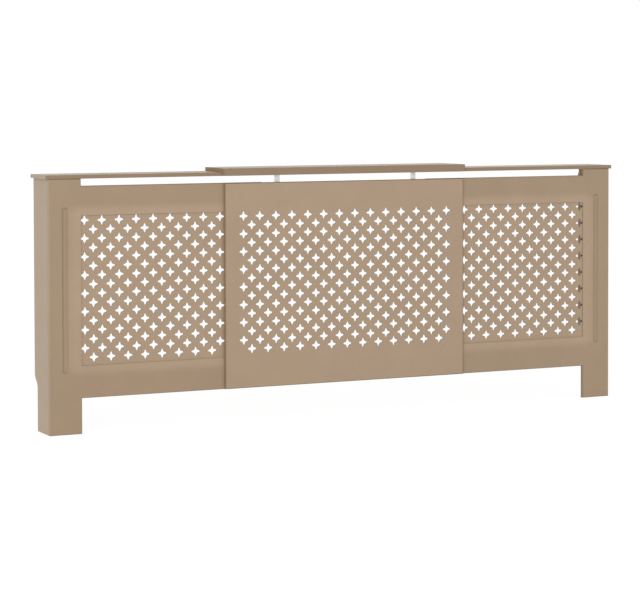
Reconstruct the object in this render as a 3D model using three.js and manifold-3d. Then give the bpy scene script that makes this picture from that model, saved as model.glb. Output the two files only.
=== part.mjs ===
// Extending radiator cover in raw fibreboard. A centre unit carries a perforated panel under its own
// shelf, and the two end units slide in behind it to fit the width of the radiator.
// Millimetres: X along the wall, Y from the room (-) to the wall (+), Z up. X = 0 is the middle of the
// cover, Y = 0 is half of its depth, Z = 0 is the floor. The cover is drawn at its full width.
import * as THREE from 'three';
import { mergeVertices } from 'three/addons/utils/BufferGeometryUtils.js';
import Module from 'manifold-3d';

const wasm = await Module();
wasm.setup();

// ---- driving dimensions ----------------------------------------------------------------------

// Fits
const glueGap = 0.3; // between boards that are glued or screwed together
const slideGap = 0.5; // between boards that slide past each other
const shelfSlideGap = 0.3; // between the end shelves and the centre shelf that lies on them

// Board stock
const frameThickness = 12;
const shelfThickness = 12;
const sideThickness = 18;
const panelThickness = 8.5; // the centre panel
const endPanelThickness = 4; // the perforated boards of the ends

// Whole cover
const halfLength = 1015.5; // middle of the cover to the outside of an end
const coverDepth = 145; // face of the end frames to the wall
const panelStandoff = 2.5; // gap behind the centre panel, where the straps lie

// End frame, from the floor up
const legHeight = 111; // floor to the bottom rail: the cold-air gap
const bottomRailHeight = 101;
const windowHeight = 464.4;
const topRailHeight = 92.4;
const slotHeight = 22; // the warm-air slot under the shelves
const legWidth = 105.5;
const railEnd = 300; // inner end of the rails and of the end shelf
const innerStileWidth = 28;
const innerStileOverlap = 38.5; // inner stile from the edge of the centre panel that hides it
const windowLip = 2.2; // frame that is left in front of the perforated board
const rebateWidth = 8;

// Groove routed down each leg
const grooveFromWindow = 44;
const grooveWidth = 18;
const grooveDepth = 2.5;
const grooveBottom = 189;
const grooveLength = 513;

// Shelves
const endOverhang = 9.5; // end shelf past the side panel
const centreShelfHalf = 436;
const lipThickness = 14.5;
const lipHeight = 12;

// Centre panel
const centrePanelHalf = 432.5;
const centreEdgeInset = 0.5; // panel edges inside the edges of the rails
const centreSideMargin = 48; // solid board outside the outermost openings, at the least

// Star-shaped openings
const pitch = 56.7;
const starTip = 15.3; // centre of an opening to its points
const starWaist = 8.5; // centre of an opening to its inner corners
const starPoints = 4;
const rowInset = 14.5; // top row below the top of the window
const columnInset = 12; // outermost column inside the edge of the leg

// Side panel, cut back at the foot for a skirting board
const skirtingDepth = 27;
const skirtingHeight = 135;
const skirtingSlope = 46;

// Battens inside the ends
const battenSize = 20;
const battenLift = 12; // end of the corner batten above the floor
const cleatWidth = 13;
const cleatHeight = 18;
const wallBattenWidth = 16;
const wallBattenDepth = 20;

// Guides behind the centre panel
const keeperHalf = 420;
const keeperHeight = 40;
const keeperThickness = 12;
const spacerHalf = 30;
const shelfSpacerSetback = 25; // clear of the wall
const runnerWidth = 32;
const runnerThickness = 3;
const runnerSetback = 24; // clear of the wall

// Steel straps between the lip and the centre panel
const strapX = 247;
const strapWidth = 18;
const strapThickness = 1.5;
const strapOnPanel = 34;
const strapOnLip = 10;

// Wall brackets
const bracketLeg = 25;
const bracketWidth = 30;
const bracketThickness = 2;
const bracketDrop = 50.5; // middle of the bracket below the cleat
const wallHoleRadius = 2.3;

// Countersunk screws
const screwHeadRadius = 3.2;
const screwShankRadius = 1.6;
const screwHeadHeight = 1.4;
const screwSides = 6;
const screwBite = 6; // length in the last board
const bracketScrewBite = 9;
const keeperScrewX = 15;

// ---- places that follow from them -------------------------------------------------------------

const overallDepth = lipThickness + panelStandoff + coverDepth;
const lipFront = -overallDepth / 2;
const panelBack = lipFront + lipThickness;
const panelFront = panelBack - panelThickness;
const frameFront = panelBack + panelStandoff;
const frameBack = frameFront + frameThickness;
const wall = frameFront + coverDepth;

const legInner = halfLength - legWidth;
const sideInner = halfLength - sideThickness;
const windowBottom = legHeight + bottomRailHeight;
const windowTop = windowBottom + windowHeight;
const railTop = windowTop + topRailHeight;
const shelfBottom = railTop + slotHeight;
const shelfTop = shelfBottom + shelfThickness;
const centreShelfBottom = shelfTop + shelfSlideGap;
const centreShelfTop = centreShelfBottom + shelfThickness;
const cleatTop = shelfBottom - glueGap;
const cleatBottom = cleatTop - cleatHeight;
const bracketHeight = cleatBottom - bracketDrop;
const innerStileNear = centrePanelHalf - innerStileOverlap;
const innerStileFar = innerStileNear + innerStileWidth;
const topRow = windowTop - rowInset;
const rowCount = Math.floor((topRow - windowBottom - starTip - pitch / 2) / pitch) + 1;
const spacerDepth = panelStandoff + frameThickness + slideGap;

// ---- solids -----------------------------------------------------------------------------------

const overshoot = 1; // how far a cutter runs past the faces it opens

// A closed three.js geometry as a solid that can be cut.
function solidOf(geometry) {
  const bare = geometry.clone();
  bare.deleteAttribute('normal');
  bare.deleteAttribute('uv');
  const merged = mergeVertices(bare, 1e-4);
  const corners = merged.index.array;
  const faces = [];
  for (let i = 0; i < corners.length; i += 3) {
    const [a, b, c] = corners.slice(i, i + 3);
    if (a !== b && b !== c && c !== a) faces.push(a, b, c);
  }
  return new wasm.Manifold(new wasm.Mesh({
    numProp: 3,
    vertProperties: new Float32Array(merged.attributes.position.array),
    triVerts: new Uint32Array(faces),
  }));
}

function geometryOf(solid) {
  const { vertProperties, triVerts } = solid.getMesh();
  const geometry = new THREE.BufferGeometry();
  geometry.setAttribute('position', new THREE.BufferAttribute(vertProperties, 3));
  geometry.setIndex(new THREE.BufferAttribute(triVerts, 1));
  geometry.computeVertexNormals();
  return geometry;
}

// A box between two limits on each axis, given in either order.
function block([x0, x1], [y0, y1], [z0, z1]) {
  const box = new THREE.BoxGeometry(Math.abs(x1 - x0), Math.abs(y1 - y0), Math.abs(z1 - z0));
  return solidOf(box.translate((x0 + x1) / 2, (y0 + y1) / 2, (z0 + z1) / 2));
}

// An outline drawn as [x, z], given thickness from the front plane back to the rear one.
function uprightBoard(shape, front, back) {
  const board = new THREE.ExtrudeGeometry(shape, { depth: back - front, bevelEnabled: false });
  return solidOf(board.rotateX(Math.PI / 2).translate(0, back, 0));
}

function outline(corners) {
  return new THREE.Shape(corners.map(([x, z]) => new THREE.Vector2(x, z)));
}

function cut(solid, tools) {
  return tools.reduce((left, tool) => left.subtract(tool), solid);
}

// Gives a solid its name and finish and places it by the middle of its box.
function piece(name, solid, finish) {
  const geometry = geometryOf(solid);
  geometry.computeBoundingBox();
  const middle = geometry.boundingBox.getCenter(new THREE.Vector3());
  geometry.translate(-middle.x, -middle.y, -middle.z);
  const mesh = new THREE.Mesh(geometry, finish);
  mesh.name = name;
  mesh.position.copy(middle);
  return mesh;
}

// ---- finishes ---------------------------------------------------------------------------------

const fibreboard = new THREE.MeshStandardMaterial({ color: 0xa58f78, roughness: 0.85, metalness: 0 });
const pine = new THREE.MeshStandardMaterial({ color: 0xc9a877, roughness: 0.8, metalness: 0 });
const zincSteel = new THREE.MeshStandardMaterial({ color: 0xcfcfcd, roughness: 0.4, metalness: 0.9 });

// ---- star-shaped openings ---------------------------------------------------------------------

function starOutline(x, z) {
  const corners = [];
  for (let i = 0; i < 2 * starPoints; i += 1) {
    const radius = i % 2 === 0 ? starTip : starWaist;
    const angle = (i * Math.PI) / starPoints;
    corners.push([x + radius * Math.cos(angle), z + radius * Math.sin(angle)]);
  }
  return outline(corners);
}

// Rows of stars on a square grid, with a second grid in the middle of its squares.
function starField(firstX, columns, front, back) {
  const stars = [];
  for (let row = 0; row < rowCount; row += 1) {
    for (let half = 0; half < 2; half += 1) {
      for (let column = 0; column < columns - half; column += 1) {
        const x = firstX + (column + half / 2) * pitch;
        const z = topRow - (row + half / 2) * pitch;
        stars.push(uprightBoard(starOutline(x, z), front - overshoot, back + overshoot));
      }
    }
  }
  return wasm.Manifold.union(stars);
}

// ---- screws -----------------------------------------------------------------------------------

// A countersunk screw along Y with its head on top, or the hole for it when a clearance is given.
function screwForm(length, clearance = 0) {
  const head = screwHeadRadius + clearance;
  const shank = screwShankRadius + clearance;
  const profile = [
    [0, -length - clearance],
    [shank, -length - clearance],
    [shank, -screwHeadHeight],
    [head, 0],
    [head, clearance * 2],
    [0, clearance * 2],
  ];
  const points = profile.map(([radius, height]) => new THREE.Vector2(radius, height));
  if (clearance === 0) points.splice(4, 1);
  return new THREE.LatheGeometry(points, screwSides);
}

// at is the middle of the head's flat face, out is the way that face looks.
function screw(name, at, out, length) {
  const turn = new THREE.Quaternion().setFromUnitVectors(
    new THREE.Vector3(0, 1, 0),
    new THREE.Vector3(...out),
  );
  const mesh = new THREE.Mesh(geometryOf(solidOf(screwForm(length))), zincSteel);
  mesh.name = name;
  mesh.quaternion.copy(turn);
  mesh.position.set(...at);
  const hole = screwForm(length, glueGap).applyQuaternion(turn).translate(...at);
  return { mesh, hole: solidOf(hole) };
}

// ---- end units --------------------------------------------------------------------------------

// side is -1 for the left end and 1 for the right one.
function endFrame(side) {
  const at = (x) => side * x;
  const edge = outline([
    [at(legInner), 0],
    [at(halfLength), 0],
    [at(halfLength), shelfBottom - glueGap],
    [at(legInner), shelfBottom - glueGap],
    [at(legInner), railTop],
    [at(railEnd), railTop],
    [at(railEnd), windowTop],
    [at(innerStileNear), windowTop],
    [at(innerStileNear), windowBottom],
    [at(railEnd), windowBottom],
    [at(railEnd), legHeight],
    [at(legInner), legHeight],
  ]);
  const window = block(
    [at(innerStileFar), at(legInner)],
    [frameFront - overshoot, frameBack + overshoot],
    [windowBottom, windowTop],
  );
  const rebate = block(
    [at(innerStileFar - rebateWidth), at(legInner + rebateWidth)],
    [frameFront + windowLip, frameBack + overshoot],
    [windowBottom - rebateWidth, windowTop + rebateWidth],
  );
  const grooveRadius = grooveWidth / 2;
  const grooveMiddle = legInner + grooveFromWindow + grooveRadius;
  const groove = new THREE.Shape();
  groove.absarc(at(grooveMiddle), grooveBottom + grooveRadius, grooveRadius, Math.PI, 2 * Math.PI);
  groove.lineTo(at(grooveMiddle) + grooveRadius, grooveBottom + grooveLength);
  groove.lineTo(at(grooveMiddle) - grooveRadius, grooveBottom + grooveLength);
  groove.closePath();
  const grooveCutter = uprightBoard(groove, frameFront - overshoot, frameFront + grooveDepth);
  return cut(uprightBoard(edge, frameFront, frameBack), [window, rebate, grooveCutter]);
}

function endGrille(side) {
  const near = innerStileFar - rebateWidth + glueGap;
  const far = legInner + rebateWidth - glueGap;
  const front = frameFront + windowLip + glueGap;
  const board = block(
    [side * near, side * far],
    [front, front + endPanelThickness],
    [windowBottom - rebateWidth + glueGap, windowTop + rebateWidth - glueGap],
  );
  const outermost = legInner - columnInset;
  const columns = Math.floor((outermost - innerStileFar - starTip) / pitch) + 1;
  const first = side < 0 ? -outermost : outermost - (columns - 1) * pitch;
  return board.subtract(starField(first, columns, front, front + endPanelThickness));
}

// Outline drawn as [y, z] and given thickness along X.
function sidePanel(side) {
  const front = frameBack + glueGap;
  const notch = wall - skirtingDepth;
  const slopeTop = skirtingHeight + skirtingSlope;
  const edge = new THREE.Shape();
  edge.moveTo(front, 0);
  edge.lineTo(notch, 0);
  edge.lineTo(notch, skirtingHeight);
  edge.bezierCurveTo(
    notch,
    skirtingHeight + skirtingSlope / 2,
    wall,
    slopeTop - skirtingSlope / 2,
    wall,
    slopeTop,
  );
  edge.lineTo(wall, shelfBottom - glueGap);
  edge.lineTo(front, shelfBottom - glueGap);
  edge.closePath();
  const board = new THREE.ExtrudeGeometry(edge, {
    depth: sideThickness,
    bevelEnabled: false,
    curveSegments: 10,
  });
  board.rotateX(Math.PI / 2).rotateZ(Math.PI / 2);
  return solidOf(board.translate(side < 0 ? -halfLength : sideInner, 0, 0));
}

// The inner face of the wall batten, where the bracket is screwed.
const bracketFace = sideInner - glueGap - wallBattenWidth - glueGap;

function wallBracket(side) {
  const at = (x) => side * x;
  const span = [bracketHeight - bracketWidth / 2, bracketHeight + bracketWidth / 2];
  const alongSide = block(
    [at(bracketFace), at(bracketFace - bracketThickness)],
    [wall - bracketLeg, wall],
    span,
  );
  const alongWall = block(
    [at(bracketFace), at(bracketFace - bracketLeg)],
    [wall - bracketThickness, wall],
    span,
  );
  const hole = new THREE.CylinderGeometry(wallHoleRadius, wallHoleRadius, bracketLeg, screwSides);
  hole.translate(at(bracketFace - (bracketLeg + bracketThickness) / 2), wall, bracketHeight);
  return alongSide.add(alongWall).subtract(solidOf(hole));
}

function endUnit(side) {
  const name = side < 0 ? 'left' : 'right';
  const at = (x) => side * x;
  const sideFace = sideInner - glueGap;
  const bracketScrew = screw(
    `${name}_bracket_screw`,
    [
      at(bracketFace - bracketThickness),
      wall - wallBattenDepth / 2,
      bracketHeight,
    ],
    [-side, 0, 0],
    bracketThickness + glueGap + bracketScrewBite,
  );
  const shelf = block(
    [at(railEnd), at(halfLength + endOverhang)],
    [frameFront, wall],
    [shelfBottom, shelfTop],
  );
  const cornerBatten = block(
    [at(sideFace), at(sideFace - battenSize)],
    [frameBack + glueGap, frameBack + glueGap + battenSize],
    [battenLift, cleatBottom - glueGap],
  );
  const cleat = block(
    [at(sideFace), at(sideFace - cleatWidth)],
    [frameBack + glueGap, wall],
    [cleatBottom, cleatTop],
  );
  const wallBatten = block(
    [at(sideFace), at(sideFace - wallBattenWidth)],
    [wall - wallBattenDepth, wall],
    [skirtingHeight + skirtingSlope, cleatBottom - glueGap],
  );
  const unit = new THREE.Group();
  unit.name = `${name}_unit`;
  unit.add(
    piece(`${name}_front_frame`, endFrame(side), fibreboard),
    piece(`${name}_grille`, endGrille(side), fibreboard),
    piece(`${name}_side_panel`, sidePanel(side), fibreboard),
    piece(`${name}_shelf`, shelf, fibreboard),
    piece(`${name}_corner_batten`, cornerBatten, fibreboard),
    piece(`${name}_shelf_cleat`, cleat, fibreboard),
    piece(`${name}_wall_batten`, cut(wallBatten, [bracketScrew.hole]), fibreboard),
    piece(`${name}_wall_bracket`, cut(wallBracket(side), [bracketScrew.hole]), zincSteel),
    bracketScrew.mesh,
  );
  return unit;
}

// ---- centre unit ------------------------------------------------------------------------------

// A keeper batten behind the rails of both ends, held off the centre panel by a block between them.
function keeper(name, height) {
  const span = [height - keeperHeight / 2, height + keeperHeight / 2];
  const front = panelBack + spacerDepth;
  const back = front + keeperThickness;
  const screws = [-1, 1].map((side) => screw(
    `${name}_keeper_screw_${side < 0 ? 'left' : 'right'}`,
    [side * keeperScrewX, back, height],
    [0, 1, 0],
    keeperThickness + spacerDepth + screwBite,
  ));
  const holes = screws.map(({ hole }) => hole);
  const spacer = block(
    [-spacerHalf, spacerHalf],
    [panelBack + glueGap, front - glueGap],
    span,
  );
  const batten = block([-keeperHalf, keeperHalf], [front, back], span);
  const meshes = [
    piece(`${name}_guide_spacer`, cut(spacer, holes), pine),
    piece(`${name}_guide_keeper`, cut(batten, holes), pine),
    ...screws.map(({ mesh }) => mesh),
  ];
  return { meshes, holes };
}

// A flat strap behind the lip and the centre panel, with a screw in each.
function strap(side) {
  const name = side < 0 ? 'left' : 'right';
  const x = side * strapX;
  const panelTop = railTop - centreEdgeInset;
  const lipBottom = centreShelfBottom - lipHeight;
  const front = panelBack + glueGap;
  const back = front + strapThickness;
  const heights = { upper: lipBottom + strapOnLip / 2, lower: panelTop - strapOnPanel / 2 };
  const screws = Object.entries(heights).map(([end, height]) => screw(
    `${name}_strap_screw_${end}`,
    [x, back, height],
    [0, 1, 0],
    strapThickness + screwBite,
  ));
  const holes = screws.map(({ hole }) => hole);
  const bar = block(
    [x - strapWidth / 2, x + strapWidth / 2],
    [front, back],
    [panelTop - strapOnPanel, lipBottom + strapOnLip],
  );
  const meshes = [
    piece(`${name}_strap`, cut(bar, holes), zincSteel),
    ...screws.map(({ mesh }) => mesh),
  ];
  return { meshes, holes };
}

// The flat bar under the inner ends of the end shelves, and the block that hangs it from the shelf.
function shelfRunner() {
  const top = shelfBottom - shelfSlideGap;
  const bottom = top - runnerThickness;
  const back = wall - runnerSetback;
  const middle = back - runnerWidth / 2;
  const screws = [-1, 1].map((side) => screw(
    `shelf_runner_screw_${side < 0 ? 'left' : 'right'}`,
    [side * keeperScrewX, middle, bottom],
    [0, 0, -1],
    centreShelfBottom - bottom + screwBite,
  ));
  const holes = screws.map(({ hole }) => hole);
  const spacer = block(
    [-spacerHalf, spacerHalf],
    [frameFront, wall - shelfSpacerSetback],
    [top + glueGap, centreShelfBottom - glueGap],
  );
  const bar = block([-keeperHalf, keeperHalf], [back - runnerWidth, back], [bottom, top]);
  const meshes = [
    piece('shelf_spacer', cut(spacer, holes), fibreboard),
    piece('shelf_runner_bar', cut(bar, holes), zincSteel),
    ...screws.map(({ mesh }) => mesh),
  ];
  return { meshes, holes };
}

function centreUnit() {
  const upperKeeper = keeper('top', windowTop + topRailHeight / 2);
  const lowerKeeper = keeper('bottom', legHeight + bottomRailHeight / 2);
  const leftStrap = strap(-1);
  const rightStrap = strap(1);
  const runner = shelfRunner();

  const halfColumns = Math.floor((centrePanelHalf - centreSideMargin - starTip) / pitch + 0.5);
  const columns = 2 * halfColumns;
  const stars = starField((-(columns - 1) / 2) * pitch, columns, panelFront, panelBack);
  const panel = block(
    [-centrePanelHalf, centrePanelHalf],
    [panelFront, panelBack],
    [legHeight + centreEdgeInset, railTop - centreEdgeInset],
  );
  const panelHoles = [...upperKeeper.holes, ...lowerKeeper.holes, ...leftStrap.holes, ...rightStrap.holes];
  const lip = block(
    [-centreShelfHalf, centreShelfHalf],
    [lipFront, panelBack],
    [centreShelfBottom - lipHeight, centreShelfBottom - glueGap],
  );
  const shelf = block(
    [-centreShelfHalf, centreShelfHalf],
    [lipFront, wall],
    [centreShelfBottom, centreShelfTop],
  );
  const unit = new THREE.Group();
  unit.name = 'centre_unit';
  unit.add(
    piece('centre_grille', cut(panel, [stars, ...panelHoles]), fibreboard),
    piece('centre_lip', cut(lip, [...leftStrap.holes, ...rightStrap.holes]), fibreboard),
    piece('centre_shelf', cut(shelf, runner.holes), fibreboard),
    ...leftStrap.meshes,
    ...rightStrap.meshes,
    ...upperKeeper.meshes,
    ...lowerKeeper.meshes,
    ...runner.meshes,
  );
  return unit;
}

// ---- the cover --------------------------------------------------------------------------------

const cover = new THREE.Group();
cover.name = 'radiator_cover';
cover.add(centreUnit(), endUnit(-1), endUnit(1));

export default cover;
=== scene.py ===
import math

import bmesh
import bpy
from mathutils import Matrix, Vector
from mathutils.geometry import tessellate_polygon


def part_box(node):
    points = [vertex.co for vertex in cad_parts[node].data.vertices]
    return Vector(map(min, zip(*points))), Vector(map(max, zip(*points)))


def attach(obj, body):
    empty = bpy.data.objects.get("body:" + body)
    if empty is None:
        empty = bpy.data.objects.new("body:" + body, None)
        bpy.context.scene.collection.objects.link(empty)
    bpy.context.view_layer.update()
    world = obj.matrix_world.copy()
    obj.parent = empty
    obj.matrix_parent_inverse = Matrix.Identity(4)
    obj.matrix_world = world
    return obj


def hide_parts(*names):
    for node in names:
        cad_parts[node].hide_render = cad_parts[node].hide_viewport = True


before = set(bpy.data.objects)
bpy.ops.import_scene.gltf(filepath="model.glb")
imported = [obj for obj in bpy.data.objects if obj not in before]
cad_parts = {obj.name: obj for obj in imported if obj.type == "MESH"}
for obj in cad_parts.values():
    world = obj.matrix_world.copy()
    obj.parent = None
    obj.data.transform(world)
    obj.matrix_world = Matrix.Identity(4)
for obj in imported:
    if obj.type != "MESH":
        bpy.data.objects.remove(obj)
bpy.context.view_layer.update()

# ---- centre panel -----------------------------------------------------------------------------
# A single sheet of raw fibreboard that covers the gap between the two ends. Its star-shaped
# openings are routed in rows on a square grid, relieved at the back so that they look thin, and
# every cut edge is lightly broken with sandpaper.

MM = 0.001
STAR_PITCH = 56.7 * MM
STAR_REACH = 14.6 * MM  # centre of an opening to the end of a point
STAR_TIP_RADIUS = 2.7 * MM
STAR_WAIST = 7.6 * MM  # centre of an opening to its narrowest place
STAR_TOP_ROW = 661.9 * MM
STAR_ROWS = 8
CENTRE_COLUMNS = 14
RELIEF_FROM = 2.0 * MM  # depth from which the thick centre board is cut back behind its openings
RELIEF = 2.5 * MM
BROKEN_EDGE = 0.5 * MM
PANEL_ROUND = 2.4 * MM
PANEL_COLOUR = (0.415, 0.298, 0.197)
CUT_COLOUR = (0.300, 0.211, 0.136)
PANEL_CUT_AND_SHADE = (0.223, 0.153, 0.095)  # the perforated boards' own cut colour, darkened further as painted shade on all their cut faces
OPENING_LOOK, UPRIGHT_EDGE_LOOK = 0.6, 0.8  # shares of the cut look, with its painted shade, in an opening and at the sides
POCKET_FLOOR_LOOK, POCKET_WALL_LOOK = 0.2, 0.6
FLAT_FROM = 4 * MM  # a cut face wider than this is flat, a narrower one is part of a rounding
SHARP_CORNER = 50  # degrees

UPRIGHT = Matrix(((1, 0, 0, 0), (0, 0, 1, 0), (0, 1, 0, 0), (0, 0, 0, 1)))


def add(tree, kind, settings=None, **inputs):
    """Adds a shader node. An input is a value or the socket that feeds it; _3 is the input at place 3."""
    node = tree.nodes.new("ShaderNode" + kind)
    for key, value in (settings or {}).items():
        setattr(node, key, value)
    for key, value in inputs.items():
        socket = node.inputs[int(key[1:]) if key[1:].isdigit() else key.replace("_", " ")]
        if isinstance(value, bpy.types.NodeSocket):
            tree.links.new(value, socket)
        else:
            socket.default_value = value
    return node


def group(name, inputs, outputs):
    """An empty shader node group with its sockets: (name, kind, default) in and (name, kind) out."""
    tree = bpy.data.node_groups.new(name, "ShaderNodeTree")
    for label, kind, default in inputs:
        socket = tree.interface.new_socket(label, in_out="INPUT", socket_type="NodeSocket" + kind)
        socket.default_value = default
    for label, kind in outputs:
        tree.interface.new_socket(label, in_out="OUTPUT", socket_type="NodeSocket" + kind)
    return tree, tree.nodes.new("NodeGroupInput").outputs, tree.nodes.new("NodeGroupOutput").inputs


def fibre_group():
    """Pressed wood fibre: fine flecks, soft clouds, and a rougher, darker look where it is cut."""
    tree, given, out = group(
        "pressed_fibre",
        [("Face", "Color", (0.4, 0.3, 0.2, 1)), ("Cut Edge", "Color", (0.3, 0.2, 0.15, 1)),
         ("Cut", "Float", 0.0), ("Cloud", "Float", 0.05), ("Fleck", "Float", 0.12)],
        [("Color", "Color"), ("Roughness", "Float"), ("Height", "Float")],
    )
    place = add(tree, "TexCoord").outputs["Object"]
    cloud = add(tree, "TexNoise", Vector=place, Scale=9.0, Detail=3.0, Roughness=0.55).outputs["Fac"]
    felt = add(tree, "TexNoise", Vector=place, Scale=420.0, Detail=4.0, Roughness=0.7, Distortion=0.6)
    felt = felt.outputs["Fac"]
    dots = add(tree, "TexVoronoi", Vector=place, Scale=230.0).outputs["Distance"]
    fleck = add(tree, "MapRange", {"interpolation_type": "SMOOTHSTEP"},
                Value=dots, From_Min=0.32, From_Max=0.08, To_Min=0.0, To_Max=1.0).outputs["Result"]
    cloudy = add(tree, "MapRange", Value=cloud, From_Min=0.3, From_Max=0.7, To_Min=-1.0, To_Max=1.0)
    cloudy = cloudy.outputs["Result"]
    felted = add(tree, "MapRange", Value=felt, From_Min=0.25, From_Max=0.75, To_Min=-1.0, To_Max=1.0)
    felted = felted.outputs["Result"]
    base = add(tree, "Mix", {"data_type": "RGBA"},
               Factor=given["Cut"], _6=given["Face"], _7=given["Cut Edge"])
    shade = add(tree, "Math", {"operation": "MULTIPLY_ADD"}, _0=cloudy, _1=given["Cloud"], _2=1.0).outputs[0]
    shade = add(tree, "Math", {"operation": "MULTIPLY_ADD"}, _0=felted, _1=0.05, _2=shade).outputs[0]
    darker = add(tree, "Math", {"operation": "MULTIPLY"}, _0=fleck, _1=given["Fleck"]).outputs[0]
    shade = add(tree, "Math", {"operation": "SUBTRACT"}, _0=shade, _1=darker).outputs[0]
    tint = add(tree, "VectorMath", {"operation": "SCALE"}, _0=base.outputs[2], Scale=shade)
    rough = add(tree, "MapRange", Value=given["Cut"], To_Min=0.38, To_Max=0.75).outputs["Result"]
    rough = add(tree, "Math", {"operation": "MULTIPLY_ADD"}, _0=felted, _1=0.05, _2=rough).outputs[0]
    tree.links.new(tint.outputs[0], out["Color"])
    tree.links.new(rough, out["Roughness"])
    tree.links.new(felt, out["Height"])
    return tree


FIBRE = fibre_group()


def coat(name, effect, strength, relief, metallic=0.0, **values):
    """A material whose colour, gloss and fine relief come from a node group with its own values."""
    material = bpy.data.materials.new(name)
    material.use_nodes = True
    tree = material.node_tree
    shader = tree.nodes["Principled BSDF"]
    shader.inputs["Metallic"].default_value = metallic
    look = add(tree, "Group", {"node_tree": effect}, **values)
    bump = add(tree, "Bump", Height=look.outputs["Height"], Strength=strength, Distance=relief)
    tree.links.new(look.outputs["Color"], shader.inputs["Base Color"])
    tree.links.new(look.outputs["Roughness"], shader.inputs["Roughness"])
    tree.links.new(bump.outputs["Normal"], shader.inputs["Normal"])
    return material, look


def fibreboard(name, face, cut=CUT_COLOUR, cloud=0.03, fleck=0.10):
    """Raw fibreboard in its own shade. The mesh says in "cut" where its faces were sawn or routed."""
    material, fibre = coat(name, FIBRE, 0.12, 0.4 * MM,
                           Face=(*face, 1), Cut_Edge=(*cut, 1), Cloud=cloud, Fleck=fleck)
    sawn = add(material.node_tree, "Attribute", {"attribute_name": "cut"}).outputs["Fac"]
    material.node_tree.links.new(sawn, fibre.inputs["Cut"])
    return material


def rounded(radius, steps=1):
    """The section of a rounded or broken edge: how far in from the outline, and how deep, in steps."""
    return [(radius * (1 - math.sin(a)), radius * (1 - math.cos(a)))
            for a in (math.pi / 2 * i / steps for i in range(steps + 1))]


def through(front, back, depth):
    """The section of a cut right through a board, from its front face to its back face."""
    return front + [(inset, depth - deep) for inset, deep in back[::-1]]


def even_cut(radius, depth, steps=1):
    """The section of a cut through a board whose front and back edges are rounded alike."""
    return through(rounded(radius, steps), rounded(radius, steps), depth)


def moved_in(outline, distance):
    """An outline moved into the material, which lies on its left, with its corners kept."""
    count, moved = len(outline), []
    for i in range(count):
        here = Vector(outline[i])
        before = (here - Vector(outline[i - 1])).normalized()
        after = (Vector(outline[(i + 1) % count]) - here).normalized()
        left = Vector((-before.y - after.y, before.x + after.x))
        left /= 1 + before.dot(after)
        moved.append(tuple(here + left * distance))
    return moved


def board(name, material, place, outline, section, holes=(), pockets=(),
          sawn=lambda u, v: 1.0, inside=1.0, flat=0.0):
    """A board cut from flat stock. Outlines are [u, v] with the material on their left. A section is
    a list of (in from the outline, depth) that runs down the cut. A pocket ends in a floor. Sawn is
    the share of the cut look at a place on the outer edge, inside the share in the holes, and flat
    the share on the faces."""
    mesh = bmesh.new()
    cut = mesh.faces.layers.float.new("cut")

    def rings(contour, profile, look):
        made = [[mesh.verts.new((u, v, depth)) for u, v in moved_in(contour, inset)]
                for inset, depth in profile]
        for upper, lower in zip(made, made[1:]):
            for i in range(len(upper)):
                face = mesh.faces.new((upper[i - 1], upper[i], lower[i], lower[i - 1]))
                (u0, v0), (u1, v1) = contour[i - 1], contour[i]
                face[cut] = look((u0 + u1) / 2, (v0 + v1) / 2)
                face.smooth = min(edge.calc_length() for edge in face.edges) < FLAT_FROM
        return made

    def cap(loops, look=flat):
        corners = [vertex for loop in loops for vertex in loop]
        for triangle in tessellate_polygon([[vertex.co.copy() for vertex in loop] for loop in loops]):
            mesh.faces.new([corners[i] for i in triangle])[cut] = look

    walls = [rings(outline, section, sawn)]
    walls += [rings(contour, profile, lambda u, v: inside) for contour, profile in holes]
    sunk = [rings(contour, profile, lambda u, v: POCKET_WALL_LOOK) for contour, profile in pockets]
    cap([wall[0] for wall in walls + sunk])
    cap([wall[-1] for wall in walls])
    for pocket in sunk:
        cap([pocket[-1]], POCKET_FLOOR_LOOK)
    mesh.transform(place)
    bmesh.ops.recalc_face_normals(mesh, faces=mesh.faces)
    smooth = [face.smooth for face in mesh.faces]
    made = bpy.data.meshes.new(name)
    mesh.to_mesh(made)
    mesh.free()
    made.set_sharp_from_angle(angle=math.radians(SHARP_CORNER))
    made.polygons.foreach_set("use_smooth", smooth)
    made.materials.append(material)
    piece = bpy.data.objects.new(name, made)
    bpy.context.scene.collection.objects.link(piece)
    return piece


def fit(piece, body, slot, *nodes):
    """The piece moves with its body and stands for the CAD nodes that it dresses."""
    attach(piece, body)
    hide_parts(*nodes)
    return piece


def rectangle(u0, u1, v0, v1):
    return [(u0, v0), (u1, v0), (u1, v1), (u0, v1)]


def star(u, v):
    """One opening: four rounded points joined by hollow arcs, listed clockwise."""
    tip_centre = STAR_REACH - STAR_TIP_RADIUS
    corner = Vector((tip_centre, STAR_TIP_RADIUS))
    waist = Vector((STAR_WAIST, STAR_WAIST)) * math.sqrt(0.5)
    quarter = [Vector((tip_centre + STAR_TIP_RADIUS * math.sin(a), STAR_TIP_RADIUS * math.cos(a)))
               for a in (math.pi * i / 4 for i in range(4, -1, -1))]
    other = Vector((corner.y, corner.x))
    control = waist * 2 - (corner + other) / 2
    quarter += [corner * (1 - t) ** 2 + control * 2 * t * (1 - t) + other * t * t for t in (1 / 3, 2 / 3)]
    points = []
    for c, s in ((1, 0), (0, 1), (-1, 0), (0, -1)):
        points += [(u + c * p.x - s * p.y, v + s * p.x + c * p.y) for p in quarter]
    return points[::-1]


def star_rows(first, columns):
    """The middles of the openings, row by row."""
    for row in range(STAR_ROWS):
        for half in (0, 1):
            for column in range(columns - half):
                yield (first + (column + half / 2) * STAR_PITCH, STAR_TOP_ROW - (row + half / 2) * STAR_PITCH)


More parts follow.
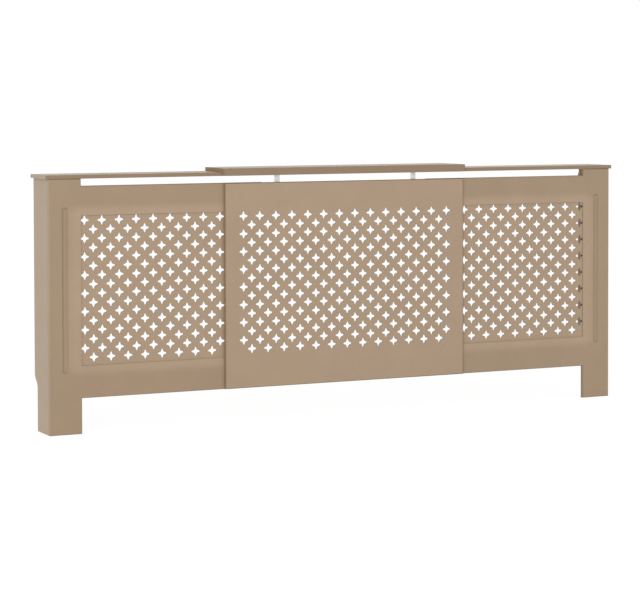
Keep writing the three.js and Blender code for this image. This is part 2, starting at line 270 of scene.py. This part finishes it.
def perforated(name, material, node, first, columns, edge, relief=0.0):
    """A perforated board in the place of a CAD node, with all its openings cut through."""
    low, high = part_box(node)
    thickness = high.y - low.y
    walls = even_cut(BROKEN_EDGE, thickness)
    if relief:
        walls = rounded(BROKEN_EDGE) + [(0, RELIEF_FROM), (relief, thickness)]
    return board(
        name, material, Matrix.Translation((0, low.y, 0)) @ UPRIGHT,
        rectangle(low.x, high.x, low.z, high.z), through(edge, rounded(BROKEN_EDGE), thickness),
        holes=[(star(u, v), walls) for u, v in star_rows(first, columns)], inside=OPENING_LOOK,
        # top and bottom edges take the full cut look with its painted shade, the sides a smaller share
        sawn=lambda u, v: 1.0 if low.x + PANEL_ROUND < u < high.x - PANEL_ROUND else UPRIGHT_EDGE_LOOK,
    )


# the perforated boards: their cut faces carry their real cut colour plus painted shade
panel_board = fibreboard("fibreboard_panel", PANEL_COLOUR, PANEL_CUT_AND_SHADE)
first_column = -(CENTRE_COLUMNS - 1) / 2 * STAR_PITCH
centre_panel = perforated("centre_panel", panel_board, "centre_grille", first_column, CENTRE_COLUMNS,
                          rounded(PANEL_ROUND, 3), RELIEF)
fit(centre_panel, "centre_unit", "raw_fibreboard", "centre_grille")

# ---- centre shelf and its lip -----------------------------------------------------------------
# The top of the centre unit lies on the shelves of the two ends. A narrow strip of the same board
# is glued under its front edge, sanded flush with it, and hides the ends of the shelves below.

SHELF_ROUND = 1.5 * MM
SHELF_COLOUR = (0.400, 0.288, 0.190)
ON_ITS_SIDE = Matrix(((0, 0, 1, 0), (1, 0, 0, 0), (0, 1, 0, 0), (0, 0, 0, 1)))

shelf_board = fibreboard("fibreboard_shelf", SHELF_COLOUR)


def softened(corners, steps=3):
    """An outline with its corners rounded. A corner is (u, v, radius) and is rounded inwards."""
    points, count = [], len(corners)
    for i, (u, v, radius) in enumerate(corners):
        here = Vector((u, v))
        if not radius:
            points.append((u, v))
            continue
        back = (Vector(corners[i - 1][:2]) - here).normalized()
        on = (Vector(corners[(i + 1) % count][:2]) - here).normalized()
        half_turn = back.angle(on) / 2
        middle = here + (back + on).normalized() * radius / math.sin(half_turn)
        start = here + back * radius / math.tan(half_turn) - middle
        end = here + on * radius / math.tan(half_turn) - middle
        for step in range(steps + 1):
            share = step / steps
            points.append(tuple(middle + (start * (1 - share) + end * share).normalized() * radius))
    return points


low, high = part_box("centre_shelf")
lip_low, lip_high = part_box("centre_lip")
shelf_end = softened([
    (lip_low.y, lip_low.z, SHELF_ROUND), (lip_high.y, lip_low.z, BROKEN_EDGE), (lip_high.y, low.z, 0),
    (high.y, low.z, BROKEN_EDGE), (high.y, high.z, SHELF_ROUND), (low.y, high.z, SHELF_ROUND),
])
shelf_front = lip_low.y + SHELF_ROUND
centre_top = board("centre_top", shelf_board, Matrix.Translation((low.x, 0, 0)) @ ON_ITS_SIDE, shelf_end,
                   even_cut(BROKEN_EDGE, high.x - low.x),
                   sawn=lambda y, z: float(y < shelf_front), flat=1.0)
fit(centre_top, "centre_unit", "raw_fibreboard", "centre_shelf", "centre_lip")

# ---- steel straps -----------------------------------------------------------------------------
# Two flat zinc-plated straps hang the centre panel from the lip of its shelf. Each lies behind the
# boards, crosses the warm-air slot, and is held by a countersunk screw at either end.

ZINC_COLOUR = (0.730, 0.712, 0.698)
ZINC_BLOOM = (0.600, 0.595, 0.590)
STRAP_CORNER = 2.5 * MM
METAL_EDGE = 0.2 * MM
SCREW_HEAD, SCREW_SHANK = 3.2 * MM, 1.6 * MM  # radii
SCREW_SINK = 1.4 * MM
SCREW_ROOM = 0.25 * MM
HEAD_EDGE_IN, HEAD_EDGE_DOWN = 0.12 * MM, 0.1 * MM
HEAD_RIM = 0.25 * MM
SCREW_TIP_RADIUS, SCREW_TIP = 0.3 * MM, 2 * MM
RECESS_ARM, RECESS_HALF, RECESS_DEPTH, RECESS_DRAFT = 2.0 * MM, 0.42 * MM, 1.0 * MM, 0.15 * MM
FROM_BEHIND = Matrix(((1, 0, 0, 0), (0, 0, -1, 0), (0, 1, 0, 0), (0, 0, 0, 1)))


def zinc_group():
    """Bright zinc plate: a cloudy bloom, and fine rolling lines that scatter the gloss."""
    tree, given, out = group(
        "zinc_plate",
        [("Bright", "Color", (0.6, 0.6, 0.6, 1)), ("Bloom", "Color", (0.4, 0.4, 0.4, 1)),
         ("Wear", "Float", 0.5)],
        [("Color", "Color"), ("Roughness", "Float"), ("Height", "Float")],
    )
    place = add(tree, "TexCoord").outputs["Object"]
    cloud = add(tree, "TexNoise", Vector=place, Scale=55.0, Detail=4.0, Roughness=0.6, Distortion=0.8)
    long = add(tree, "VectorMath", {"operation": "MULTIPLY"}, _0=place, _1=(2600.0, 2600.0, 60.0)).outputs[0]
    lines = add(tree, "TexNoise", Vector=long, Scale=1.0, Detail=2.0, Roughness=0.5).outputs["Fac"]
    share = add(tree, "MapRange", {"interpolation_type": "SMOOTHSTEP"}, Value=cloud.outputs["Fac"],
                From_Min=0.35, From_Max=0.7, To_Min=0.0, To_Max=1.0).outputs["Result"]
    share = add(tree, "Math", {"operation": "MULTIPLY"}, _0=share, _1=given["Wear"]).outputs[0]
    colour = add(tree, "Mix", {"data_type": "RGBA"}, Factor=share, _6=given["Bright"], _7=given["Bloom"])
    rough = add(tree, "MapRange", Value=share, To_Min=0.34, To_Max=0.52).outputs["Result"]
    rough = add(tree, "Math", {"operation": "MULTIPLY_ADD"}, _0=lines, _1=0.10, _2=rough).outputs[0]
    tree.links.new(colour.outputs[2], out["Color"])
    tree.links.new(rough, out["Roughness"])
    tree.links.new(lines, out["Height"])
    return tree


ZINC = zinc_group()


def zinc(name, wear):
    return coat(name, ZINC, 0.15, 0.1 * MM, metallic=1.0,
                Bright=(*ZINC_COLOUR, 1), Bloom=(*ZINC_BLOOM, 1), Wear=wear)[0]


zinc_plate = zinc("zinc_plate", 0.6)
zinc_screw = zinc("zinc_screw", 0.3)


def circle(u, v, radius, sides=24):
    """Listed anticlockwise, as the outside of a piece is."""
    return [(u + radius * math.cos(a), v + radius * math.sin(a))
            for a in (2 * math.pi * i / sides for i in range(sides))]


def screw_seat(u, v, depth):
    """The countersunk hole for a screw, as an outline and a section."""
    return (circle(u, v, SCREW_SHANK + SCREW_ROOM)[::-1],
            [(SCREW_HEAD - SCREW_SHANK, 0), (0, SCREW_SINK + SCREW_ROOM), (0, depth)])


def screw(node, body, out):
    """A countersunk screw with a cross recess, in the place of its CAD pin. Out is the way it looks."""
    low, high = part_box(node)
    out = Vector(out)
    head = (low + high) / 2 + Vector([o * (h - l) / 2 for o, h, l in zip(out, high, low)])
    length = abs((high - low).dot(out))
    arm, half = RECESS_ARM, RECESS_HALF
    cross = [(half, half), (half, arm), (-half, arm), (-half, half), (-arm, half), (-arm, -half),
             (-half, -half), (-half, -arm), (half, -arm), (half, -half), (arm, -half), (arm, half)]
    shank = SCREW_HEAD - SCREW_SHANK
    pin = board(node.replace("screw", "fixing"), zinc_screw,
                Matrix.Translation(head) @ (-out).to_track_quat("Z", "Y").to_matrix().to_4x4(),
                circle(0, 0, SCREW_HEAD),
                [(HEAD_EDGE_IN, 0), (0, HEAD_EDGE_DOWN), (0, HEAD_RIM), (shank, SCREW_SINK),
                 (shank, length - SCREW_TIP), (SCREW_HEAD - SCREW_TIP_RADIUS, length)],
                pockets=[(cross[::-1], [(0, 0), (-RECESS_DRAFT, RECESS_DEPTH)])])
    return fit(pin, body, "zinc_steel", node)


for name in ("left", "right"):
    low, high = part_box(f"{name}_strap")
    middle = (low.x + high.x) / 2
    seats = []
    for end in ("upper", "lower"):
        screw(f"{name}_strap_screw_{end}", "centre_unit", (0, 1, 0))
        pin_low, pin_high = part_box(f"{name}_strap_screw_{end}")
        seats.append(screw_seat(middle, (pin_low.z + pin_high.z) / 2, high.y - low.y))
    corners = [(u, v, STRAP_CORNER) for u, v in rectangle(low.x, high.x, low.z, high.z)]
    strap = board(f"{name}_hanging_strap", zinc_plate, Matrix.Translation((0, high.y, 0)) @ FROM_BEHIND,
                  softened(corners), even_cut(METAL_EDGE, high.y - low.y), holes=seats)
    fit(strap, "centre_unit", "zinc_steel", f"{name}_strap")

# ---- end frames -------------------------------------------------------------------------------
# Each end is faced by a frame cut from one sheet: a wide leg, two rails that run in behind the
# centre panel, and a hidden inner stile. A flute is routed down the leg, the outside is rounded
# over, and a rebate at the back holds the perforated board.

FRAME_ROUND = 2.5 * MM
WINDOW_ROUND = 0.8 * MM
WINDOW = (422 * MM, 910 * MM, 212 * MM, 676.4 * MM)  # from and to along the cover, foot and top
WINDOW_LIP = 2.2 * MM
REBATE = 8 * MM
RAIL_FOOT, RAIL_TOP = 111 * MM, 768.8 * MM
STILE_EDGE = 394 * MM
FLUTE = (954 * MM, 972 * MM, 189 * MM, 702 * MM)  # the same
FLUTE_CORNER = 2 * MM
FLUTE_DEPTH = 2.5 * MM
FLUTE_COVE = 5.5 * MM
FLUTE_MOUTH = 0.8 * MM
FRAME_COLOUR = (0.371, 0.264, 0.170)
# painted light: a paler colour for the frame's face round its window
PAINTED_LIGHT_COLOUR = (0.435, 0.312, 0.208)
PAINTED_LIGHT_BESIDE, PAINTED_LIGHT_ABOVE = 66 * MM, 40 * MM  # how far the painted light reaches from the window


def mirrored(outline, side):
    """The outline as drawn for the right end, or its mirror image for the left one."""
    return outline if side > 0 else [(-u, v) for u, v in outline[::-1]]


def frame_board():
    """The frame's own colour, with painted light that makes it paler round the window, fading outwards."""
    material = fibreboard("fibreboard_frame", FRAME_COLOUR)
    tree = material.node_tree
    fibre = next(node for node in tree.nodes if node.type == "GROUP")
    place = add(tree, "SeparateXYZ", Vector=add(tree, "TexCoord").outputs["Object"])
    reach = []
    for axis, low, high, width in (("X", *WINDOW[:2], PAINTED_LIGHT_BESIDE), ("Z", *WINDOW[2:], PAINTED_LIGHT_ABOVE)):
        along = place.outputs[axis]
        if axis == "X":
            along = add(tree, "Math", {"operation": "ABSOLUTE"}, _0=along).outputs[0]
        off = add(tree, "Math", {"operation": "SUBTRACT"}, _0=along, _1=(low + high) / 2).outputs[0]
        off = add(tree, "Math", {"operation": "ABSOLUTE"}, _0=off).outputs[0]
        off = add(tree, "Math", {"operation": "SUBTRACT"}, _0=off, _1=(high - low) / 2).outputs[0]
        off = add(tree, "Math", {"operation": "MAXIMUM"}, _0=off, _1=0.0).outputs[0]
        off = add(tree, "Math", {"operation": "DIVIDE"}, _0=off, _1=width).outputs[0]
        reach.append(add(tree, "Math", {"operation": "POWER"}, _0=off, _1=2.0).outputs[0])
    far = add(tree, "Math", {"operation": "ADD"}, _0=reach[0], _1=reach[1]).outputs[0]
    far = add(tree, "Math", {"operation": "SQRT"}, _0=far).outputs[0]
    # painted light: full at the window's edge, fading out over the reach given above
    painted_light = add(tree, "MapRange", {"interpolation_type": "SMOOTHSTEP"},
                 Value=far, From_Min=0.25, From_Max=1.0, To_Min=1.0, To_Max=0.0).outputs["Result"]
    face = add(tree, "Mix", {"data_type": "RGBA"},
               Factor=painted_light, _6=(*FRAME_COLOUR, 1), _7=(*PAINTED_LIGHT_COLOUR, 1))
    tree.links.new(face.outputs[2], fibre.inputs["Face"])
    return material


frame_face = frame_board()


def end_frame(side, name):
    low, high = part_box(f"{name}_front_frame")
    thickness = high.y - low.y
    inner, outer = min(abs(low.x), abs(high.x)), max(abs(low.x), abs(high.x))
    leg, window_low, window_high = WINDOW[1:]
    outline = [(leg, RAIL_FOOT), (leg, 0), (outer, 0), (outer, high.z), (leg, high.z), (leg, RAIL_TOP),
               (inner, RAIL_TOP), (inner, window_high), (STILE_EDGE, window_high), (STILE_EDGE, window_low),
               (inner, window_low), (inner, RAIL_FOOT)]
    window = rectangle(*WINDOW)[::-1]
    rebated = rounded(WINDOW_ROUND, 2) + [(0, WINDOW_LIP), (REBATE, WINDOW_LIP), (REBATE, thickness)]
    left, right, flute_low, flute_high = FLUTE
    middle, half = (left + right) / 2, (right - left) / 2
    flute = [(right, flute_high - FLUTE_CORNER), (right - FLUTE_CORNER, flute_high),
             (left + FLUTE_CORNER, flute_high), (left, flute_high - FLUTE_CORNER)]
    flute += [(middle - half * math.cos(a), flute_low + half - half * math.sin(a))
              for a in (math.pi * i / 12 for i in range(13))]
    flute = flute[::-1]
    hollow = rounded(FLUTE_MOUTH, 2)
    hollow += [(-FLUTE_COVE * (1 - math.cos(a)), FLUTE_MOUTH + (FLUTE_DEPTH - FLUTE_MOUTH) * math.sin(a))
               for a in (math.pi / 2 * i / 4 for i in range(1, 5))]
    return board(
        f"{name}_frame", frame_face, Matrix.Translation((0, low.y, 0)) @ UPRIGHT,
        mirrored(outline, side), through(rounded(FRAME_ROUND, 3), rounded(BROKEN_EDGE), thickness),
        holes=[(mirrored(window, side), rebated)],
        pockets=[(mirrored(flute, side), hollow)],
        sawn=lambda u, v: float(abs(u) < outer - FRAME_ROUND),
    )


ENDS = ((-1, "left"), (1, "right"))
for side, name in ENDS:
    fit(end_frame(side, name), f"{name}_unit", "raw_fibreboard", f"{name}_front_frame")

# ---- end grilles ------------------------------------------------------------------------------
# A thin perforated board is glued into the rebate behind each window. Its openings carry on the
# pattern of the centre panel, and the leg's edge covers the tips of the outermost column.

END_COLUMNS = 9
OUTERMOST = 898 * MM

for side, name in ENDS:
    first = -OUTERMOST if side < 0 else OUTERMOST - (END_COLUMNS - 1) * STAR_PITCH
    grille = perforated(f"{name}_perforated_board", panel_board, f"{name}_grille", first, END_COLUMNS,
                        rounded(BROKEN_EDGE))
    fit(grille, f"{name}_unit", "raw_fibreboard", f"{name}_grille")

# ---- end shelves ------------------------------------------------------------------------------
# The shelf of each end stands out a little past the side panel and runs in under the centre
# shelf, so that the cover can be pulled out without a gap.

for side, name in ENDS:
    low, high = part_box(f"{name}_shelf")
    end_top = board(f"{name}_top", shelf_board, Matrix.Translation((0, 0, low.z)),
                    rectangle(low.x, high.x, low.y, high.y), even_cut(SHELF_ROUND, high.z - low.z, 3),
                    sawn=lambda u, v: float(v < low.y + SHELF_ROUND))
    fit(end_top, f"{name}_unit", "raw_fibreboard", f"{name}_shelf")

# ---- side panels ------------------------------------------------------------------------------
# A side panel closes each end from the frame back to the wall. Its foot is cut away in a long
# curve, so that it clears the skirting board.

SKIRTING_DEPTH = 27 * MM
SKIRTING_HEIGHT = 135 * MM
SKIRTING_SLOPE = 46 * MM
SIDE_COLOUR = (0.406, 0.287, 0.181)

side_board = fibreboard("fibreboard_side", SIDE_COLOUR)


def side_outline(front, wall, top):
    """Seen from the side, with the long curve of its notch as a smooth S between two uprights."""
    notch, slope_top = wall - SKIRTING_DEPTH, SKIRTING_HEIGHT + SKIRTING_SLOPE
    corners = [Vector((notch, SKIRTING_HEIGHT)), Vector((notch, SKIRTING_HEIGHT + SKIRTING_SLOPE / 2)),
               Vector((wall, slope_top - SKIRTING_SLOPE / 2)), Vector((wall, slope_top))]
    curve = []
    for t in (i / 16 for i in range(17)):
        weights = ((1 - t) ** 3, 3 * t * (1 - t) ** 2, 3 * t * t * (1 - t), t ** 3)
        curve.append(tuple(sum((w * c for w, c in zip(weights, corners)), Vector((0, 0)))))
    return [(front, 0), (notch, 0), *curve, (wall, top), (front, top)]


for side, name in ENDS:
    low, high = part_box(f"{name}_side_panel")
    side_panel = board(f"{name}_side", side_board, Matrix.Translation((low.x, 0, 0)) @ ON_ITS_SIDE,
                       side_outline(low.y, high.y, high.z), even_cut(BROKEN_EDGE, high.x - low.x))
    fit(side_panel, f"{name}_unit", "raw_fibreboard", f"{name}_side_panel")

# ---- battens inside the ends ------------------------------------------------------------------
# Strips ripped from the same board hold each end together: a square one in the front corner, a
# cleat under the shelf, and one down the wall edge of the side panel. They are glued in place.

BATTEN_ROUND = 0.8 * MM
BATTEN_END = 0.4 * MM
BATTEN_LOOK = 0.4
BATTEN_COLOUR = (0.405, 0.296, 0.196)
BATTENS = {"corner_batten": "corner_post", "wall_batten": "wall_post", "shelf_cleat": "shelf_ledge"}

batten_board = fibreboard("fibreboard_batten", BATTEN_COLOUR, cloud=0.05, fleck=0.14)

for side, name in ENDS:
    for node, piece in BATTENS.items():
        low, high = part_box(f"{name}_{node}")
        if node == "shelf_cleat":
            sides = rectangle(low.x, high.x, low.z, high.z)
            place, length = Matrix.Translation((0, low.y, 0)) @ UPRIGHT, high.y - low.y
        else:
            sides = rectangle(low.x, high.x, low.y, high.y)
            place, length = Matrix.Translation((0, 0, low.z)), high.z - low.z
        post = board(f"{name}_{piece}", batten_board, place,
                     softened([(u, v, BATTEN_ROUND) for u, v in sides]),
                     even_cut(BATTEN_END, length), sawn=lambda u, v: BATTEN_LOOK)
        fit(post, f"{name}_unit", "raw_fibreboard", f"{name}_{node}")

# ---- guides behind the centre panel -----------------------------------------------------------
# Two softwood keepers, each screwed through a spacer block to the centre panel, hold the rails of
# both ends flat and let them slide. A steel bar does the same for the ends of the lower shelves.

PINE_PALE = (0.640, 0.440, 0.240)
PINE_DARK = (0.440, 0.255, 0.115)
RING_WIDTH = 2.6 * MM
RING_SWAY = 12 * MM
GRAIN_PULL = -0.965  # a length along the grain is cut to 1 plus this
KEEPER_ROUND = 1.5 * MM
KEEPER_SEAT = 5 * MM
RUNNER_CORNER, RUNNER_EDGE = 4 * MM, 0.4 * MM


def grain_group():
    """Softwood: growth rings round a pith beside the piece, drawn out along the grain, and pores."""
    tree, given, out = group(
        "softwood_grain",
        [("Pale", "Color", (0.6, 0.4, 0.2, 1)), ("Dark", "Color", (0.4, 0.2, 0.1, 1)),
         ("Along", "Vector", (0.0, 0.0, 1.0)), ("Pith", "Vector", (0.03, 0.03, 0.03))],
        [("Color", "Color"), ("Roughness", "Float"), ("Height", "Float")],
    )
    place = add(tree, "TexCoord").outputs["Object"]
    far = add(tree, "VectorMath", {"operation": "DOT_PRODUCT"}, _0=place, _1=given["Along"]).outputs["Value"]
    shorter = add(tree, "Math", {"operation": "MULTIPLY"}, _0=far, _1=GRAIN_PULL).outputs[0]
    pulled = add(tree, "VectorMath", {"operation": "SCALE"}, _0=given["Along"], Scale=shorter).outputs[0]
    place = add(tree, "VectorMath", {"operation": "ADD"}, _0=place, _1=pulled).outputs[0]
    sway = add(tree, "TexNoise", Vector=place, Scale=26.0, Detail=2.0, Roughness=0.5).outputs["Fac"]
    from_pith = add(tree, "VectorMath", {"operation": "DISTANCE"}, _0=place, _1=given["Pith"])
    from_pith = from_pith.outputs["Value"]
    ring = add(tree, "Math", {"operation": "MULTIPLY_ADD"}, _0=sway, _1=RING_SWAY, _2=from_pith).outputs[0]
    ring = add(tree, "Math", {"operation": "DIVIDE"}, _0=ring, _1=RING_WIDTH).outputs[0]
    ring = add(tree, "Math", {"operation": "FRACT"}, _0=ring).outputs[0]
    late = add(tree, "MapRange", {"interpolation_type": "SMOOTHSTEP"},
               Value=ring, From_Min=0.35, From_Max=0.92, To_Min=0.0, To_Max=0.75).outputs["Result"]
    early = add(tree, "MapRange", {"interpolation_type": "SMOOTHSTEP"},
                Value=ring, From_Min=0.92, From_Max=1.0, To_Min=1.0, To_Max=0.0).outputs["Result"]
    late = add(tree, "Math", {"operation": "MULTIPLY"}, _0=late, _1=early).outputs[0]
    pores = add(tree, "TexNoise", Vector=place, Scale=900.0, Detail=3.0, Roughness=0.6).outputs["Fac"]
    colour = add(tree, "Mix", {"data_type": "RGBA"}, Factor=late, _6=given["Pale"], _7=given["Dark"])
    shade = add(tree, "MapRange", Value=pores, From_Min=0.3, From_Max=0.7, To_Min=0.9, To_Max=1.06)
    tint = add(tree, "VectorMath", {"operation": "SCALE"},
               _0=colour.outputs[2], Scale=shade.outputs["Result"])
    rough = add(tree, "MapRange", Value=late, To_Min=0.72, To_Max=0.58).outputs["Result"]
    rise = add(tree, "Math", {"operation": "MULTIPLY_ADD"}, _0=late, _1=0.6, _2=pores).outputs[0]
    tree.links.new(tint.outputs[0], out["Color"])
    tree.links.new(rough, out["Roughness"])
    tree.links.new(rise, out["Height"])
    return tree


GRAIN = grain_group()


def softwood(name, along, pith):
    return coat(name, GRAIN, 0.2, 0.3 * MM,
                Pale=(*PINE_PALE, 1), Dark=(*PINE_DARK, 1), Along=along, Pith=pith)[0]


across_pine = softwood("softwood_across", (1, 0, 0), (0.0, -0.12, 0.66))

for level in ("top", "bottom"):
    low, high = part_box(f"{level}_guide_keeper")
    seats = []
    for name in ("left", "right"):
        node = f"{level}_keeper_screw_{name}"
        pin_low, pin_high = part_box(node)
        seats.append(screw_seat((pin_low.x + pin_high.x) / 2, (pin_low.z + pin_high.z) / 2, KEEPER_SEAT))
        screw(node, "centre_unit", (0, 1, 0))
    keeper = board(f"{level}_keeper", across_pine, Matrix.Translation((0, high.y, 0)) @ FROM_BEHIND,
                   softened([(u, v, KEEPER_ROUND) for u, v in rectangle(low.x, high.x, low.z, high.z)]),
                   even_cut(KEEPER_ROUND, high.y - low.y, 2), pockets=seats)
    fit(keeper, "centre_unit", "softwood", f"{level}_guide_keeper")
    low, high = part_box(f"{level}_guide_spacer")
    spacer = board(f"{level}_spacer", across_pine, Matrix.Translation((0, low.y, 0)) @ UPRIGHT,
                   rectangle(low.x, high.x, low.z, high.z), even_cut(BROKEN_EDGE, high.y - low.y))
    fit(spacer, "centre_unit", "softwood", f"{level}_guide_spacer")

low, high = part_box("shelf_runner_bar")
seats = []
for name in ("left", "right"):
    node = f"shelf_runner_screw_{name}"
    pin_low, pin_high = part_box(node)
    seats.append(screw_seat((pin_low.x + pin_high.x) / 2, (pin_low.y + pin_high.y) / 2, high.z - low.z))
    screw(node, "centre_unit", (0, 0, -1))
runner = board("shelf_runner", zinc_plate, Matrix.Translation((0, 0, low.z)),
               softened([(u, v, RUNNER_CORNER) for u, v in rectangle(low.x, high.x, low.y, high.y)]),
               even_cut(RUNNER_EDGE, high.z - low.z, 2), holes=seats)
fit(runner, "centre_unit", "zinc_steel", "shelf_runner_bar")
low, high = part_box("shelf_spacer")
hanger = board("shelf_hanger", shelf_board, Matrix.Translation((0, 0, low.z)),
               rectangle(low.x, high.x, low.y, high.y), even_cut(BROKEN_EDGE, high.z - low.z))
fit(hanger, "centre_unit", "raw_fibreboard", "shelf_spacer")

# ---- wall brackets ----------------------------------------------------------------------------
# A small angle bracket, bent from zinc-plated strip, is screwed to the wall batten of each end. Its
# other leg lies on the wall and takes one screw, so that the cover can't tip forward.

BRACKET_METAL = 2 * MM
BRACKET_BEND = 3.5 * MM  # outside of the bend
BRACKET_CORNER = 4 * MM
WALL_HOLE = 2.3 * MM


def bent_bracket(name, side):
    """Three parts in one mesh: the leg on the batten, the bend, and the leg on the wall."""
    low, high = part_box(f"{name}_wall_bracket")
    pin_low, pin_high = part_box(f"{name}_bracket_screw")
    outer, inner = (low.x, high.x) if side < 0 else (high.x, low.x)
    ends = even_cut(METAL_EDGE, BRACKET_METAL)
    turned = BRACKET_BEND * side
    facing_in = Matrix.Translation((outer - BRACKET_METAL * side, 0, 0)) @ Matrix(
        ((0, 0, side, 0), (1, 0, 0, 0), (0, 1, 0, 0), (0, 0, 0, 1)))
    on_batten = board(f"{name}_batten_leg", zinc_plate, facing_in,
                      softened([(low.y, low.z, BRACKET_CORNER), (high.y - BRACKET_BEND, low.z, 0),
                                (high.y - BRACKET_BEND, high.z, 0), (low.y, high.z, BRACKET_CORNER)]), ends,
                      holes=[screw_seat((pin_low.y + pin_high.y) / 2, (low.z + high.z) / 2, BRACKET_METAL)])
    flat = [(inner, low.z, BRACKET_CORNER), (outer - turned, low.z, 0),
            (outer - turned, high.z, 0), (inner, high.z, BRACKET_CORNER)]
    hole = circle((inner + outer - BRACKET_METAL * side) / 2, (low.z + high.z) / 2, WALL_HOLE)[::-1]
    against_wall = Matrix.Translation((0, high.y - BRACKET_METAL, 0)) @ UPRIGHT
    on_wall = board(f"{name}_wall_leg", zinc_plate, against_wall,
                    softened(flat if side > 0 else flat[::-1]), ends, holes=[(hole, ends)])
    steps = [math.pi / 2 * i / 5 for i in range(6)]
    middle = Vector((outer - turned, high.y - BRACKET_BEND))
    arcs = [[(middle.x + side * radius * math.cos(a), middle.y + radius * math.sin(a)) for a in steps]
            for radius in (BRACKET_BEND, BRACKET_BEND - BRACKET_METAL)]
    bow = arcs[0] + arcs[1][::-1]
    bend = board(f"{name}_bend", zinc_plate, Matrix.Translation((0, 0, low.z)),
                 bow if side > 0 else bow[::-1], [(0, 0), (0, high.z - low.z)])
    whole = bmesh.new()
    for part in (on_batten, on_wall, bend):
        whole.from_mesh(part.data)
        bpy.data.objects.remove(part)
    bracket = bpy.data.meshes.new(f"{name}_bracket")
    whole.to_mesh(bracket)
    whole.free()
    bracket.materials.append(zinc_plate)
    piece = bpy.data.objects.new(f"{name}_bracket", bracket)
    bpy.context.scene.collection.objects.link(piece)
    return piece


for side, name in ENDS:
    fit(bent_bracket(name, side), f"{name}_unit", "zinc_steel", f"{name}_wall_bracket")
    screw(f"{name}_bracket_screw", f"{name}_unit", (-side, 0, 0))

# ---- floor, light and camera ------------------------------------------------------------------
# The cover stands in a plain white studio. Light comes softly from all round, a little more of it
# from the front left, and the floor keeps a faint shadow.

FLOOR_SIZE = 60
FLOOR_DROP = 0.5 * MM
PAPER_WHITE = (0.93, 0.93, 0.93, 1)
FILL_LEVEL = 0.63
GLOW_SHARE, GLOW_LEVEL = 0.88, 1.06  # how much of the floor that is seen is plain white, and how bright


def studio_world():
    world = bpy.data.worlds.new("white_studio")
    world.use_nodes = True
    tree = world.node_tree
    tree.nodes.clear()
    rays = add(tree, "LightPath").outputs
    seen = add(tree, "Math", {"operation": "MAXIMUM"},
               _0=rays["Is Camera Ray"], _1=rays["Is Glossy Ray"]).outputs[0]
    seen = add(tree, "Math", {"operation": "MAXIMUM"}, _0=seen, _1=rays["Is Transmission Ray"]).outputs[0]
    level = add(tree, "MapRange", Value=seen, To_Min=FILL_LEVEL, To_Max=1.0).outputs["Result"]
    light = add(tree, "Background", Color=(1, 1, 1, 1), Strength=level)
    add(tree, "OutputWorld", Surface=light.outputs[0])
    return world


def studio_floor():
    material = bpy.data.materials.new("studio_floor")
    material.use_nodes = True
    tree = material.node_tree
    tree.nodes.clear()
    rays = add(tree, "LightPath").outputs
    seen = add(tree, "Math", {"operation": "MAXIMUM"},
               _0=rays["Is Camera Ray"], _1=rays["Is Glossy Ray"]).outputs[0]
    share = add(tree, "Math", {"operation": "MULTIPLY"}, _0=seen, _1=GLOW_SHARE).outputs[0]
    paper = add(tree, "BsdfDiffuse", Color=PAPER_WHITE)
    glow = add(tree, "Emission", Color=(1, 1, 1, 1), Strength=GLOW_LEVEL)
    mix = add(tree, "MixShader", Fac=share, _1=paper.outputs[0], _2=glow.outputs[0])
    add(tree, "OutputMaterial", Surface=mix.outputs[0])
    return material


bpy.context.scene.world = studio_world()
floor_mesh = bpy.data.meshes.new("floor")
half = FLOOR_SIZE / 2
floor_mesh.from_pydata([(u, v, 0) for u, v in rectangle(-half, half, -half, half)], [], [(0, 1, 2, 3)])
floor_mesh.materials.append(studio_floor())
floor = bpy.data.objects.new("floor", floor_mesh)
floor.location.z = -FLOOR_DROP
bpy.context.scene.collection.objects.link(floor)

LAMP_AIM = Vector((0, 0, 0.4))  # the middle of the cover


def soft_lamp(name, place, size, power):
    lamp = bpy.data.lights.new(name, "AREA")
    lamp.shape = "SQUARE"
    lamp.size = size
    lamp.energy = power
    lamp_object = bpy.data.objects.new(name, lamp)
    lamp_object.location = place
    lamp_object.rotation_mode = "QUATERNION"
    lamp_object.rotation_quaternion = (LAMP_AIM - Vector(place)).to_track_quat("-Z", "Y")
    lamp_object.visible_camera = False
    bpy.context.scene.collection.objects.link(lamp_object)


soft_lamp("front_left_lamp", place=(-12.3, -16.2, 6.0), size=9.0, power=1740)

CAMERA_PLACE = (-3.13243, -6.42471, 1.04387)
CAMERA_TURN, CAMERA_TILT, CAMERA_ROLL = 25.5379, 2.0012, 0.1277  # degrees
CAMERA_LENS = 122.318
FRAME_SHIFT = -0.2
turn, tilt, roll = (math.radians(a) for a in (CAMERA_TURN, CAMERA_TILT, CAMERA_ROLL))
ahead = Vector((math.sin(turn) * math.cos(tilt), math.cos(turn) * math.cos(tilt), -math.sin(tilt)))
right = Vector((math.cos(turn), -math.sin(turn), 0))
down = ahead.cross(right)
across = right * math.cos(roll) + down * math.sin(roll)
upward = right * math.sin(roll) - down * math.cos(roll)

camera = bpy.data.cameras.new("camera")
camera.sensor_width = 36
camera.lens = CAMERA_LENS
camera.shift_y = FRAME_SHIFT
camera.clip_start, camera.clip_end = 0.1, 100
camera_object = bpy.data.objects.new("camera", camera)
camera_object.matrix_world = Matrix.Translation(CAMERA_PLACE) @ Matrix(
    [(across[i], upward[i], -ahead[i]) for i in range(3)]).to_4x4()
bpy.context.scene.collection.objects.link(camera_object)
bpy.context.scene.camera = camera_object
bpy.context.scene.view_settings.view_transform = "Standard"
